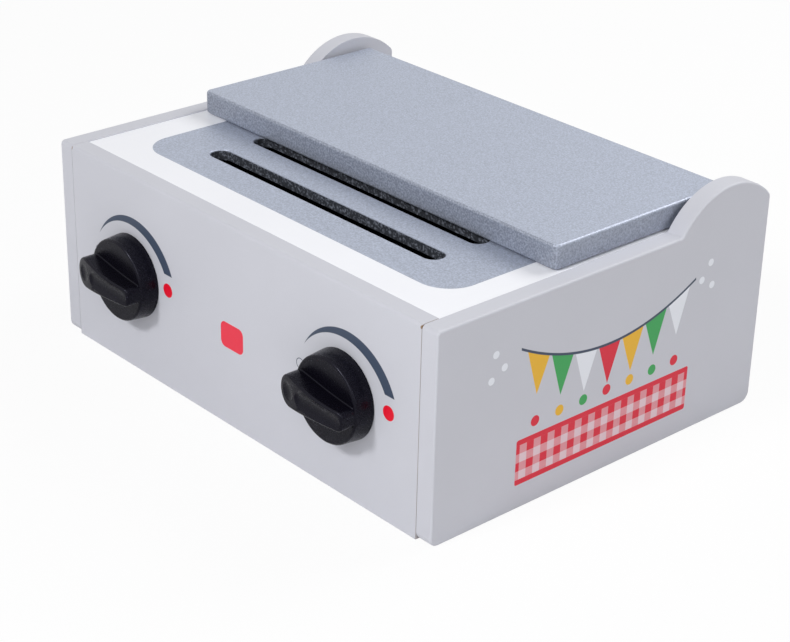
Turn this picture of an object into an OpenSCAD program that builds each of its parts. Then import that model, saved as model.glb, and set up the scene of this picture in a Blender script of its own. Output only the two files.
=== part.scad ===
// Wooden toy oven for the table: a box of painted boards with a slotted top,
// a lid that hinges between the humps of the side panels, and two turning knobs.
// X runs to the right, Y to the back, Z up. The origin is the middle of the
// underside. All sizes are in millimetres.

/* [Case] */
// Width over the side panels
body_w = 255; // [200:1:320]
// Depth over the front and back panels
body_d = 195; // [180:1:240]
// Height of the flat part of the side panels
side_h = 95.5; // [80:0.5:110]
// Height over the humps of the side panels
body_h = 112; // [104:0.5:130]
// Thickness of the side, front and back panels
panel_t = 9; // [8:0.5:12]
// Thickness of the base board
base_t = 6; // [4:0.5:9]
// Radius of the round hump at the back of each side panel
hump_r = 36; // [30:0.5:40]
// Distance from the back edge to the middle of the hump
hump_back = 26; // [22:0.5:30]
// Corner radius of the side panels at the bottom back
corner_back = 5; // [2:0.5:8]
// Corner radius of the side panels at the bottom front
corner_front = 4; // [2:0.5:8]
// Corner radius of the side panels at the top
corner_top = 2; // [1:0.5:5]
// Rounding of the long edges of the boards
edge_r = 1.5; // [0.5:0.25:2.5]

/* [Top board] */
// Thickness of the top board
board_t = 5; // [4:0.5:8]
// Depth of the top board's surface below the side panels' flat top
board_drop = 0.7; // [0:0.1:3]
// Length of a slot, over its round ends
slot_l = 152; // [120:1:180]
// Width of a slot
slot_w = 10.2; // [6:0.1:14]
// Distance from slot to slot
slot_pitch = 25; // [20:1:30]
// Number of slots
slot_count = 5; // [3:1:5]
// Offset of the slots from the middle of the board, to the right
pattern_x = 1.6; // [-3:0.1:3]
// Offset of the slots from the middle of the board, to the back
pattern_y = 0.6; // [-3:0.1:3]

/* [Lid] */
// Width of the lid
lid_w = 233; // [180:1:300]
// Thickness of the lid
lid_t = 11; // [9:0.5:13]
// Distance from the lid's front edge to its hinge axis
lid_reach = 99; // [80:1:110]
// Distance from the hinge axis to the back of the case
hinge_back = 22; // [18:0.5:30]
// Gap under the closed lid
lid_gap = 0.4; // [0.2:0.1:1]
// Rounding of the lid's edges
lid_edge = 2.5; // [1:0.25:4]
// Corner radius of the lid seen from above
lid_corner = 3; // [1:0.5:6]
// How far the lid opens
lid_open = 100; // [90:1:110]

/* [Knobs] */
// Distance between the two knobs
knob_span = 145.6; // [100:1:180]
// Height of the knobs above the table
knob_z = 47; // [35:1:60]
// Diameter of a knob at its back
knob_d = 39.6; // [34:0.2:44]
// Diameter of a knob at the front of its skirt
knob_face_d = 38; // [32:0.2:42]
// Height of a knob's skirt
skirt_h = 9; // [7:0.2:11]
// Height of a knob over the crown of its grip bar
knob_h = 17.4; // [15:0.2:20]
// Radius of the bow of the grip bar's front
bow_r = 90; // [60:5:200]
// Distance from a knob's axis to the tip of the grip bar
pointer_reach = 21.2; // [18:0.1:22]
// Distance from a knob's axis to the tail of the grip bar
tail_reach = 18.4; // [16:0.1:19]
// Radius of the grip bar's round pointer end
pointer_r = 7.2; // [5.5:0.1:7.5]
// Half width of the grip bar at its tail
tail_half = 4.3; // [3.5:0.1:5.5]
// Turn of the grip bar off the level, pointer end up
knob_turn = 2.5; // [0:0.5:10]
// Gap between a knob and the front panel
knob_gap = 0.3; // [0.2:0.1:1]

/* [Hardware] */
// Diameter of the lid's pivot pins
pin_d = 5; // [4:0.5:6]
// Length of a pivot pin in the side panel
pin_in_panel = 6.5; // [5:0.5:7]
// Length of a pivot pin in the lid
pin_in_lid = 16; // [10:1:25]
// Diameter of the wooden dowels
dowel_d = 6; // [5:0.5:6]
// Length of a dowel in the side panel
dowel_in_side = 6; // [4:0.5:7]
// Length of a dowel in the front or back panel
dowel_in_end = 16; // [12:1:24]
// Width and height of the battens
batten = 12; // [10:1:16]
// Diameter of the knob screws
knob_screw_d = 4; // [3:0.5:4]
// Diameter of the base screws
base_screw_d = 3; // [2.5:0.5:3.5]

/* [Hidden] */

$fn = 96;

// Clearances: a running fit all round a turning piece, and a cut's overshoot
running = 0.06;
over = 1;

// How far an arc crosses the line or arc that it runs into
crossing = 0.02;

// Main planes of the case
side_x = body_w / 2 - panel_t;
front_y = -body_d / 2;
back_y = body_d / 2;
inner_d = body_d - 2 * panel_t;
board_z = side_h - board_drop;

// Hump of a side panel: a circle that the back edge cuts, its corner rounded
hump_y = back_y - hump_back;
hump_z = body_h - hump_r;
hump_corner = 4;
hump_corner_y = back_y - hump_corner;
hump_corner_z = hump_z + sqrt(pow(hump_r - hump_corner, 2) - pow(hump_corner_y - hump_y, 2));
hump_tangent_y = hump_y + (hump_corner_y - hump_y) * hump_r / (hump_r - hump_corner);

// Small hollow where the hump runs out into the flat top
hump_foot = 2;
foot_z = side_h + hump_foot;
foot_y = hump_y - sqrt(pow(hump_r + hump_foot, 2) - pow(foot_z - hump_z, 2));
foot_share = hump_r / (hump_r + hump_foot);
foot_end_y = hump_y + (foot_y - hump_y) * foot_share;
foot_end_z = hump_z + (foot_z - hump_z) * foot_share;

// Lid hinge axis
hinge_y = back_y - hinge_back;
hinge_z = board_z + lid_gap + lid_t / 2;
lid_over = lid_open - 90;

// Dowels and base screws
dowel_y = back_y - panel_t / 2;
dowel_zs = [25, 70];
base_screw_x = side_x - batten / 2;
base_screw_pitch = 60;
base_screw_l = 15;
base_head_d = 6;
base_head_h = 1.8;
base_head_sink = 0.2;

// Knob: a hollow skirt with a grip bar, and a boss that turns in the panel
wall = 2;
boss_r = 5;
boss_out = knob_gap + panel_t + 0.4;
screw_hole_l = boss_out + 8;

// Grip bar: its waist lies between the pointer end and the tail, and its front
// is bowed about an axis behind the crown
pointer_x = pointer_r - pointer_reach;
waist_x = 5;
waist_half = (pointer_r + tail_half) / 2 - 0.75;
tail_corner = 2;
crown_x = 1;
dish_x = -14.8;
dish_r = 4.3;
dish_depth = 0.9;
hollow_from = -9.6;
hollow_to = 15;
hollow_half = 3.2;
hollow_depth = 1.2;

// Washer and screw of a knob
washer_r = 8.5;
washer_t = 1.2;
screw_head_r = 3.75;
screw_head_h = 2.6;
screw_l = 16;

// Colours
white = [0.90, 0.91, 0.93];
silver = [0.66, 0.69, 0.75];
black = [0.07, 0.07, 0.08];
timber = [0.83, 0.70, 0.50];
steel = [0.70, 0.71, 0.72];

// A rectangle with a radius of its own at each corner, counted from the corner
// at the lowest x and y round to the one at the lowest x and highest y
module soft_rect(w, h, radii) {
  corners = [[0, 0], [w, 0], [w, h], [0, h]];
  difference() {
    square([w, h]);
    for (i = [0:3])
      if (radii[i] > 0)
        translate(corners[i]) rotate(90 * i) corner_cut(radii[i]);
  }
}

// What a round corner takes off a square one at the origin
module corner_cut(r) {
  difference() {
    translate([-over, -over]) square(r + over);
    translate([r, r]) circle(r = r);
  }
}

// Draws a side view, with Y across and Z up, and gives it a width along X
module along_x(x, w) {
  translate([x, 0, 0]) rotate([90, 0, 90]) linear_extrude(w) children();
}

// A round bar or hole along X
module rod_x(x, y, z, r, l) {
  translate([x, y, z]) rotate([0, 90, 0]) cylinder(r = r, h = l);
}

// Side view of a side panel: a low board with a hump at the back
module side_outline() {
  translate([front_y, 0])
    soft_rect(body_d, side_h, [corner_front, corner_back, 0, corner_top]);
  intersection() {
    translate([hump_y, hump_z]) circle(r = hump_r, $fn = 180);
    translate([hump_y - hump_r, side_h / 2])
      square([hump_tangent_y - hump_y + hump_r, body_h]);
  }
  translate([hump_corner_y, hump_corner_z]) circle(r = hump_corner);
  translate([hump_y, side_h / 2])
    square([back_y - hump_y, hump_corner_z - side_h / 2]);
  difference() {
    polygon([[foot_y, side_h - over], [foot_end_y + over, side_h - over],
      [foot_end_y, foot_end_z], [foot_y, side_h]]);
    translate([foot_y, foot_z]) circle(r = hump_foot + crossing);
  }
}

// A side panel standing with its inner face at x = 0 and its body towards +X
module side_panel() {
  difference() {
    along_x(0, panel_t) side_outline();
    rod_x(-over, hinge_y, hinge_z, pin_d / 2 + running, pin_in_panel + running + over);
    for (y = [-dowel_y, dowel_y], z = dowel_zs)
      rod_x(-over, y, z, dowel_d / 2, dowel_in_side + over);
  }
}

module right_side_panel() {
  color(white) translate([side_x, 0, 0]) side_panel();
}

module left_side_panel() {
  color(white) mirror([1, 0, 0]) translate([side_x, 0, 0]) side_panel();
}

// Dowel holes in both ends of the front or back panel
module end_dowel_holes(y) {
  for (s = [0, 1], z = dowel_zs)
    mirror([s, 0, 0])
      rod_x(side_x - dowel_in_end, y, z, dowel_d / 2, dowel_in_end + over);
}

module front_panel() {
  color(white)
    difference() {
      along_x(-side_x, 2 * side_x)
        translate([front_y, 0]) soft_rect(panel_t, side_h, [0.5, 0, 0.5, edge_r]);
      end_dowel_holes(-dowel_y);
      for (x = [-knob_span / 2, knob_span / 2])
        translate([x, front_y - over, knob_z])
          rotate([-90, 0, 0]) cylinder(r = boss_r + running, h = panel_t + 2 * over);
    }
}

module back_panel() {
  color(white)
    difference() {
      along_x(-side_x, 2 * side_x)
        translate([back_y - panel_t, 0])
          soft_rect(panel_t, side_h, [0, 0.5, edge_r, 0.5]);
      end_dowel_holes(dowel_y);
    }
}

// Top view of one slot with round ends
module slot_outline() {
  straight = slot_l - slot_w;
  translate([-straight / 2, -slot_w / 2]) square([straight, slot_w]);
  for (x = [-straight / 2, straight / 2])
    translate([x, 0]) circle(d = slot_w);
}

module top_board() {
  first = -slot_pitch * (slot_count - 1) / 2;
  color(white)
    translate([0, 0, board_z - board_t])
      difference() {
        translate([-side_x, -inner_d / 2, 0]) cube([2 * side_x, inner_d, board_t]);
        for (i = [0:slot_count - 1])
          translate([pattern_x, pattern_y + first + i * slot_pitch, -over])
            linear_extrude(board_t + 2 * over) slot_outline();
      }
}

module base_board() {
  color(timber)
    difference() {
      translate([-side_x, -inner_d / 2, 0]) cube([2 * side_x, inner_d, base_t]);
      at_base_screws() {
        translate([0, 0, -over]) cylinder(d = base_screw_d + 0.2, h = base_t + 2 * over);
        base_screw_head(0.1);
      }
    }
}

module at_base_screws() {
  for (x = [-base_screw_x, base_screw_x], i = [-1:1])
    translate([x, i * base_screw_pitch, 0]) children();
}

// Countersunk head, with some room round it when it is used as a cut
module base_screw_head(room) {
  translate([0, 0, base_head_sink])
    cylinder(r1 = base_head_d / 2 + room, r2 = base_screw_d / 2 + room, h = base_head_h);
  if (room > 0)
    translate([0, 0, -over])
      cylinder(r = base_head_d / 2 + room, h = base_head_sink + over);
}

module base_screws() {
  color(steel)
    at_base_screws()
      difference() {
        union() {
          base_screw_head(0);
          translate([0, 0, base_head_sink + base_head_h])
            cylinder(d = base_screw_d, h = base_screw_l - base_head_h);
        }
        for (a = [0, 90])
          rotate(a)
            translate([-1.4, -0.35, 0]) cube([2.8, 0.7, 1.2]);
      }
}

// Battens under the top board, in a frame
module batten_x(y) {
  color(timber)
    translate([-side_x, y, board_z - board_t - batten])
      cube([2 * side_x, batten, batten]);
}

module batten_y(x) {
  color(timber)
    translate([x, -inner_d / 2 + batten, board_z - board_t - batten])
      cube([batten, inner_d - 2 * batten, batten]);
}

module front_top_batten() { batten_x(-inner_d / 2); }

module rear_top_batten() { batten_x(inner_d / 2 - batten); }

module left_top_batten() { batten_y(-side_x); }

module right_top_batten() { batten_y(side_x - batten); }

// Battens on the base board, along the side panels
module base_batten(x) {
  color(timber)
    difference() {
      translate([x, -inner_d / 2, base_t]) cube([batten, inner_d, batten]);
      at_base_screws()
        cylinder(d = base_screw_d, h = base_head_sink + base_screw_l);
    }
}

module left_base_batten() { base_batten(-side_x); }

module right_base_batten() { base_batten(side_x - batten); }

// Four dowels, two at each end of a panel
module panel_dowels(y) {
  color(timber)
    for (s = [0, 1], z = dowel_zs)
      mirror([s, 0, 0])
        rod_x(side_x - dowel_in_end, y, z, dowel_d / 2, dowel_in_end + dowel_in_side);
}

module front_panel_dowels() { panel_dowels(-dowel_y); }

module back_panel_dowels() { panel_dowels(dowel_y); }

// Side view of the lid about its hinge axis. The back edge is round below, so
// that it clears the board, and flat above, so that it stands on the board
// when the lid is open.
module lid_outline() {
  h = lid_t / 2;
  heel = h * (1 - sin(lid_over)) / cos(lid_over);
  foot = h * (1 + sin(lid_over)) / cos(lid_over);
  difference() {
    polygon([[-lid_reach, -h], [foot, -h], [heel, h], [-lid_reach, h]]);
    translate([-lid_reach, -h]) corner_cut(lid_edge);
    translate([-lid_reach, h]) rotate(-90) corner_cut(lid_edge);
    // Round back edge, up to where the flat heel touches it
    difference() {
      polygon([[0, 0], [0, -2 * h], [2 * h, -2 * h],
        [2 * h * cos(lid_over), 2 * h * sin(lid_over)]]);
      circle(r = h);
    }
    // Small flat that takes the sharp corner off the heel
    translate([heel, h]) rotate(45 + lid_over / 2) square([1.2, 3 * h], center = true);
  }
}

module lid() {
  h = lid_t / 2;
  color(silver)
    translate([0, hinge_y, hinge_z])
      difference() {
        intersection() {
          along_x(-lid_w / 2, lid_w) lid_outline();
          translate([-lid_w / 2, -lid_reach, -h])
            linear_extrude(lid_t)
              soft_rect(lid_w, lid_reach + lid_t, [lid_corner, lid_corner, 0, 0]);
        }
        for (s = [0, 1])
          mirror([s, 0, 0])
            rod_x(lid_w / 2 - pin_in_lid, 0, 0, pin_d / 2, pin_in_lid + over);
      }
}

module pivot_pin() {
  gap = side_x - lid_w / 2;
  color(steel)
    rod_x(lid_w / 2 - pin_in_lid, hinge_y, hinge_z, pin_d / 2,
      pin_in_lid + gap + pin_in_panel - 2 * running);
}

module right_pivot_pin() { pivot_pin(); }

module left_pivot_pin() { mirror([1, 0, 0]) pivot_pin(); }

// Puts a knob piece in place: its z axis points out of the front panel, and
// z = 0 is the back of the skirt
module at_knob(side) {
  translate([side * knob_span / 2, front_y - knob_gap, knob_z])
    rotate([90, 0, 0])
      rotate(-knob_turn) children();
}

// Front view of the grip bar: a round pointer end, a waist and a narrow tail.
// A positive inset draws it that much smaller all round.
module bar_outline(inset) {
  corner = max(tail_corner - inset, 0.3);
  end_x = tail_reach - inset;
  round_r = pointer_r - inset;
  waist = waist_half - inset;
  tail = tail_half - inset;
  translate([pointer_x, 0]) circle(r = round_r);
  for (s = [-1, 1])
    translate([end_x - corner, s * (tail - corner)]) circle(r = corner);
  polygon([
    [pointer_x, -round_r], [waist_x, -waist], [end_x - corner, -tail],
    [end_x, corner - tail], [end_x, tail - corner],
    [end_x - corner, tail], [waist_x, waist], [pointer_x, round_r]
  ]);
}

// The grip bar under its bowed front. A positive sink lowers the front.
module bar(inset, sink) {
  intersection() {
    linear_extrude(knob_h) bar_outline(inset);
    translate([crown_x, 0, knob_h - bow_r])
      rotate([90, 0, 0])
        cylinder(r = bow_r - sink, h = 4 * pointer_r, center = true, $fn = 360);
  }
}

// Height of the bowed front at a distance along the bar
function front_z(x) = knob_h - bow_r + sqrt(pow(bow_r, 2) - pow(x - crown_x, 2));

// Radius of a round cutter that leaves a mark of a half width and a depth
function cutter_r(half, depth) = (half * half + depth * depth) / (2 * depth);

// Shallow round dish in the pointer end, and a long hollow that starts deep
// beside it and runs out level at the tail
module knob_marks() {
  ball = cutter_r(dish_r, dish_depth);
  translate([crown_x, 0, knob_h - bow_r])
    rotate([0, asin((dish_x - crown_x) / bow_r), 0])
      translate([0, 0, bow_r - dish_depth + ball]) sphere(r = ball);
  round_r = cutter_r(hollow_half, hollow_depth);
  start_z = front_z(hollow_from) - hollow_depth;
  rise = atan2(front_z(hollow_to) - start_z, hollow_to - hollow_from);
  translate([hollow_from, 0, start_z + round_r])
    rotate([0, 90 - rise, 0]) cylinder(r = round_r, h = hollow_to - hollow_from);
}

module knob() {
  color(black)
    difference() {
      union() {
        difference() {
          union() {
            cylinder(r1 = knob_d / 2, r2 = knob_face_d / 2, h = skirt_h);
            bar(0, 0);
          }
          translate([0, 0, -over])
            cylinder(r = knob_face_d / 2 - wall, h = skirt_h - wall + over);
          bar(wall, wall + hollow_depth);
        }
        translate([0, 0, -boss_out])
          cylinder(r = boss_r, h = boss_out + knob_h - wall);
      }
      translate([0, 0, -boss_out - over])
        cylinder(d = knob_screw_d, h = screw_hole_l + over);
      knob_marks();
    }
}

module left_knob() { at_knob(-1) knob(); }

module right_knob() { at_knob(1) knob(); }

module knob_screw() {
  under_head = -boss_out - washer_t;
  color(steel)
    difference() {
      union() {
        translate([0, 0, under_head]) cylinder(d = knob_screw_d, h = screw_l);
        translate([0, 0, under_head - screw_head_h])
          cylinder(r1 = screw_head_r - 0.6, r2 = screw_head_r, h = screw_head_h);
      }
      for (a = [0, 90])
        rotate(a)
          translate([-2, -0.45, under_head - screw_head_h - over])
            cube([4, 0.9, 1.4 + over]);
    }
}

module left_knob_screw() { at_knob(-1) knob_screw(); }

module right_knob_screw() { at_knob(1) knob_screw(); }

module knob_washer() {
  color(steel)
    translate([0, 0, -boss_out - washer_t])
      difference() {
        cylinder(r = washer_r, h = washer_t);
        translate([0, 0, -over])
          cylinder(r = knob_screw_d / 2 + 0.15, h = washer_t + 2 * over);
      }
}

module left_knob_washer() { at_knob(-1) knob_washer(); }

module right_knob_washer() { at_knob(1) knob_washer(); }

left_side_panel();
right_side_panel();
front_panel();
back_panel();
top_board();
base_board();
front_top_batten();
rear_top_batten();
left_top_batten();
right_top_batten();
left_base_batten();
right_base_batten();
front_panel_dowels();
back_panel_dowels();
base_screws();
lid();
left_pivot_pin();
right_pivot_pin();
left_knob();
right_knob();
left_knob_screw();
right_knob_screw();
left_knob_washer();
right_knob_washer();
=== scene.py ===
import math

import bmesh
import bpy
from mathutils import Matrix, Quaternion, Vector


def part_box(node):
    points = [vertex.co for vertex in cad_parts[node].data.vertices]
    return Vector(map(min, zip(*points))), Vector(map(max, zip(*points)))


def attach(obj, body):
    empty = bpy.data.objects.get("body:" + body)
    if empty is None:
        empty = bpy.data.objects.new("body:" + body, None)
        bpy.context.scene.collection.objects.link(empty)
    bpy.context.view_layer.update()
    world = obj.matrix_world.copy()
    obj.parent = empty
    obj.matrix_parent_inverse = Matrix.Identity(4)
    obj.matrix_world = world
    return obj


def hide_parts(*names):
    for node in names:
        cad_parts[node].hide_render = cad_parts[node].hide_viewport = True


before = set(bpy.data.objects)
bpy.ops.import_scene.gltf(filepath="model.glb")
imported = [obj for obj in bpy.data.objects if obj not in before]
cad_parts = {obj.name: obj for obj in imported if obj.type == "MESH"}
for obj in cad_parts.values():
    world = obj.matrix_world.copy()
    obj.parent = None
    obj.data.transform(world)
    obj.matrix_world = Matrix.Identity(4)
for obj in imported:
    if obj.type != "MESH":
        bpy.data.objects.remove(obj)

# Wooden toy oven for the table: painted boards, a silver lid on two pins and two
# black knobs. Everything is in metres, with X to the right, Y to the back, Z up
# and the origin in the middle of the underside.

bl_info = {
    "name": "Wooden Toy Oven",
    "version": (1, 0, 0),
    "blender": (4, 5, 0),
    "location": "View3D > Sidebar > Toy Oven",
    "description": "Models and finishes the boards, lid and knobs of a wooden toy oven",
    "category": "Object",
}

MM = 0.001
QUARTER = math.pi / 2
ONE_POINT = 0.002 * MM    # points closer than this are merged
HAIR = 0.01 * MM          # levels closer than this are one level
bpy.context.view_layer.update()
SIDES = (("left", -1), ("right", 1))

# Places read from the pieces of model.glb
SIDE_LOW, SIDE_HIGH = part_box("right_side_panel")
FRONT_LOW, FRONT_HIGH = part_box("front_panel")
BACK_LOW, BACK_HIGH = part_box("back_panel")
BOARD_LOW, BOARD_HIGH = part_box("top_board")
BASE_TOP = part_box("base_board")[1].z
LID_LOW, LID_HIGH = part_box("lid")
SCREW_LOW, SCREW_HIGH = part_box("right_knob_screw")
PIN_LOW, PIN_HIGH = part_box("right_pivot_pin")
DOWEL_LOW, DOWEL_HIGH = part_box("front_panel_dowels")
HINGE_Y = (PIN_LOW.y + PIN_HIGH.y) / 2
HINGE_Z = (PIN_LOW.z + PIN_HIGH.z) / 2
KNOB_X = (SCREW_LOW.x + SCREW_HIGH.x) / 2
KNOB_Z = (SCREW_LOW.z + SCREW_HIGH.z) / 2
DOWEL_R = (DOWEL_HIGH.y - DOWEL_LOW.y) / 2


# Settings -------------------------------------------------------------------

def length(name, description, millimetres):
    """A length that a user can change, with its default in millimetres."""
    return bpy.props.FloatProperty(
        name=name, description=description, default=millimetres * MM,
        unit="LENGTH", subtype="DISTANCE", precision=4)


def angle(name, description, degrees):
    """An angle that a user can change, with its default in degrees."""
    return bpy.props.FloatProperty(
        name=name, description=description, default=math.radians(degrees),
        unit="ROTATION", subtype="ANGLE")


def power(name, description, watts):
    """A lamp's power that a user can change."""
    return bpy.props.FloatProperty(
        name=name, description=description, default=watts, unit="POWER")


def linear(level):
    """A screen's 0 to 255 colour level as the renderer's 0 to 1 level."""
    share = level / 255
    return share / 12.92 if share <= 0.04045 else ((share + 0.055) / 1.055) ** 2.4


def colour(name, description, red, green, blue):
    """A colour that a user can change, with its default as a screen's 0 to 255 levels."""
    return bpy.props.FloatVectorProperty(
        name=name, description=description, subtype="COLOR", size=3, min=0, max=1,
        default=[linear(red), linear(green), linear(blue)])


class OvenBoards(bpy.types.PropertyGroup):
    """Sizes of the case's painted boards."""
    flat_top: length("Flat top", "Height of the side panels in front of their humps", 95.5)
    corner_front: length("Front corner", "Corner radius at the bottom front", 4)
    corner_back: length("Back corner", "Corner radius at the bottom back", 5)
    corner_top: length("Top corner", "Corner radius at the top front", 2)
    hump_radius: length("Hump radius", "Radius of the round hump at the back", 36)
    hump_back: length("Hump to back", "Distance from back edge to the hump's middle", 26)
    hump_corner: length("Hump corner", "Corner radius where hump and back edge meet", 4)
    hump_foot: length("Hump foot", "Radius where the hump runs out into the flat top", 2)
    arris: length("Arris", "Rounding of the outer edges", 1.0)
    seam: length("Seam", "Rounding of the edges where two boards meet", 0.4)
    front_arris: length("Front arris", "Rounding of the front panel's top edge", 1.5)
    pin_clearance: length("Pin clearance", "Gap round a pivot pin", 0.06)
    boss_bore: length("Boss bore", "Radius of the front panel's knob holes", 5.06)
    dowel_hole: length("Dowel hole", "Depth of a dowel hole in a panel's end", 16)


class OvenTopBoard(bpy.types.PropertyGroup):
    """Sizes of the slotted top board and its silver field."""
    slot_length: length("Slot length", "Length of a slot over its round ends", 152)
    slot_width: length("Slot width", "Width of a slot", 10.2)
    slot_pitch: length("Slot pitch", "Distance from slot to slot", 25)
    slot_count: bpy.props.IntProperty(
        name="Slots", description="Number of slots", default=5, min=1, max=5)
    slot_rim: length("Slot rim", "Rounding of the slots' upper rims", 0.6)
    pattern_x: length("Pattern right", "Offset of the slots to the right", 1.6)
    pattern_y: length("Pattern back", "Offset of the slots to the back", 0.6)
    field_width: length("Field width", "Width of the silver field", 205.5)
    field_depth: length("Field depth", "Depth of the silver field", 144)
    field_corner: length("Field corner", "Corner radius of the silver field", 15)


class OvenLid(bpy.types.PropertyGroup):
    """Sizes of the silver lid."""
    corner: length("Corner", "Corner radius seen from above", 3)
    arris: length("Arris", "Rounding of the edges", 1.3)
    heel: length("Heel", "Width of the flat across the heel's corner", 0.8)
    over: angle("Over", "Lean of the open lid past the vertical", 10)
    pin_radius: length("Pin radius", "Radius of the holes for the pivot pins", 2.5)
    pin_hole: length("Pin hole", "Depth of a pivot pin's hole", 16)


class OvenKnobs(bpy.types.PropertyGroup):
    """Sizes of the two turning knobs."""
    back_radius: length("Back radius", "Radius of the skirt at the panel", 19.8)
    face_radius: length("Face radius", "Radius of the skirt at its front", 19.0)
    skirt: length("Skirt", "Height of the skirt", 9)
    height: length("Height", "Height over the crown of the grip bar", 17.4)
    bow: length("Bow", "Radius of the bow of the grip bar's front", 90)
    crown: length("Crown", "Place of the crown along the grip bar", 1)
    pointer_reach: length("Pointer reach", "Distance from axis to the pointer's tip", 21.2)
    pointer_radius: length("Pointer radius", "Radius of the grip bar's pointer end", 7.2)
    waist: length("Waist", "Place of the grip bar's waist", 5)
    waist_half: length("Waist half", "Half width of the grip bar at its waist", 4.9)
    waist_sweep: length("Waist sweep", "Length over which the waist bends", 6)
    tail_reach: length("Tail reach", "Distance from the axis to the tail", 18.4)
    tail_half: length("Tail half", "Half width of the grip bar at its tail", 4.3)
    tail_corner: length("Tail corner", "Corner radius of the tail", 2.4)
    rim: length("Rim", "Rounding of the skirt's front rim", 1.0)
    edge: length("Edge", "Rounding of the grip bar's front edges", 0.9)
    foot: length("Foot", "Fillet at the foot of the grip bar", 0.45)
    dish: length("Dish", "Place of the round dish along the grip bar", -14.8)
    dish_radius: length("Dish radius", "Radius of the round dish", 4.3)
    dish_depth: length("Dish depth", "Depth of the round dish", 0.9)
    hollow_round: length("Hollow round", "Radius of the long hollow's cutter", 7)
    hollow_start: length("Hollow start", "Middle of the long hollow's round start", -6)
    hollow_end: length("Hollow end", "Middle of the long hollow's round end", 15.5)
    hollow_deep: length("Hollow deep", "Depth of the long hollow at its start", 1.1)
    hollow_shallow: length("Hollow shallow", "Depth of the long hollow at its end", 0.35)
    wall: length("Wall", "Thickness of the skirt's wall", 2)
    boss_radius: length("Boss radius", "Radius of the boss that turns in the panel", 5)
    boss_out: length("Boss length", "Length of the boss behind the skirt", 9.7)
    screw_radius: length("Screw radius", "Radius of the hole for the screw", 2)
    screw_depth: length("Screw depth", "Depth of the hole for the screw", 17.7)
    gap: length("Gap", "Gap between the skirt and the panel", 0.3)
    turn: angle("Turn", "Turn of the grip bar off the level, pointer end up", 2.5)


class OvenColours(bpy.types.PropertyGroup):
    """Colours of the finishes and of the printed marks."""
    case: colour("Case", "Pale grey lacquer of the case", 204, 205, 213)
    board: colour("Board", "White lacquer of the top board", 246, 247, 252)
    silver: colour("Silver", "Silver lacquer of the lid and the field", 170, 177, 193)
    plastic: colour("Plastic", "Black plastic of the knobs", 6, 5, 13)
    wood: colour("Wood", "Bare birch of the inner boards", 214, 184, 138)
    grain: colour("Grain", "Dark lines in the bare wood", 178, 139, 92)
    steel: colour("Steel", "Zinc plated screws, washers and pins", 176, 180, 184)
    slate: colour("Slate", "Dark ink of the dial marks", 60, 72, 93)
    lamp: colour("Lamp", "Red ink of the lamp square", 237, 52, 74)
    dot: colour("Dot", "Red ink of the dial dots", 232, 0, 40)
    red: colour("Red", "Red ink of the side decoration", 222, 34, 58)
    green: colour("Green", "Green ink of the side decoration", 60, 165, 88)
    yellow: colour("Yellow", "Yellow ink of the side decoration", 238, 184, 48)
    pale: colour("Pale", "Pale ink of the side decoration", 236, 239, 246)
    # This colour goes on every face inside the case below the top board, so that what shows
    # through the slots is near black
    inside: colour("Inside", "Black stain on the inside of the case", 22, 21, 22)
    bare: colour("Bare", "Bare wood where the lacquer is worn off a corner", 138, 112, 84)


class OvenStage(bpy.types.PropertyGroup):
    """The camera, the light and the floor."""
    camera_place: bpy.props.FloatVectorProperty(
        name="Camera", description="Where the camera stands", size=3,
        subtype="TRANSLATION", unit="LENGTH", default=(0.6147, -0.5616, 0.4312))
    azimuth: angle("Azimuth", "Turn of the camera round the object", 47.774)
    elevation: angle("Elevation", "Height of the camera above the horizon", 26.209)
    roll: angle("Roll", "Turn of the camera about its own axis", 1.375)
    lens: bpy.props.FloatProperty(
        name="Lens", description="Focal length on a 36 mm wide sensor", default=91.72,
        subtype="DISTANCE_CAMERA")
    ambient: bpy.props.FloatProperty(
        name="Ambient", description="Strength of the light from all round", default=0.2)
    key_power: power("Key", "Power of the far lamp in front", 26.4)
    right_power: power("Right", "Power of the lamp on the right", 1.8)
    near_power: power("Near", "Power of the near lamp at the front corner", 1.6)
    back_power: power("Back", "Power of the lamp above the back", 6.7)
    floor_size: length("Floor", "Width of the floor", 6000)


GROUPS = {
    "oven_boards": OvenBoards,
    "oven_top_board": OvenTopBoard,
    "oven_lid": OvenLid,
    "oven_knobs": OvenKnobs,
    "oven_colours": OvenColours,
    "oven_stage": OvenStage,
}


# Modelling by hand ----------------------------------------------------------

def start_fresh():
    """Leaves edit mode, with nothing selected."""
    if bpy.context.mode != "OBJECT":
        bpy.ops.object.mode_set(mode="OBJECT")
    bpy.ops.object.select_all(action="DESELECT")


def take(piece):
    """Makes a piece the only one selected."""
    start_fresh()
    bpy.context.view_layer.objects.active = piece
    piece.select_set(True)


def settle(name):
    """Names the piece just made and puts its place into its mesh."""
    if bpy.context.mode != "OBJECT":
        bpy.ops.object.mode_set(mode="OBJECT")
    piece = bpy.context.active_object
    piece.name = piece.data.name = name
    take(piece)
    bpy.ops.object.transform_apply(location=True, rotation=True, scale=True)
    return piece


def block(name, low, high):
    """A square block between two corners."""
    start_fresh()
    low, high = Vector(low), Vector(high)
    bpy.ops.mesh.primitive_cube_add(size=1, location=(low + high) / 2, scale=high - low)
    return settle(name)


def rod(name, start, end, radius, end_radius=None, sides=64):
    """A round or tapered bar from one point to another."""
    start_fresh()
    start, end = Vector(start), Vector(end)
    way = end - start
    bpy.ops.mesh.primitive_cone_add(
        vertices=sides, radius1=radius, radius2=end_radius or radius, depth=way.length,
        location=(start + end) / 2, rotation=way.to_track_quat("Z", "Y").to_euler())
    return settle(name)


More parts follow.
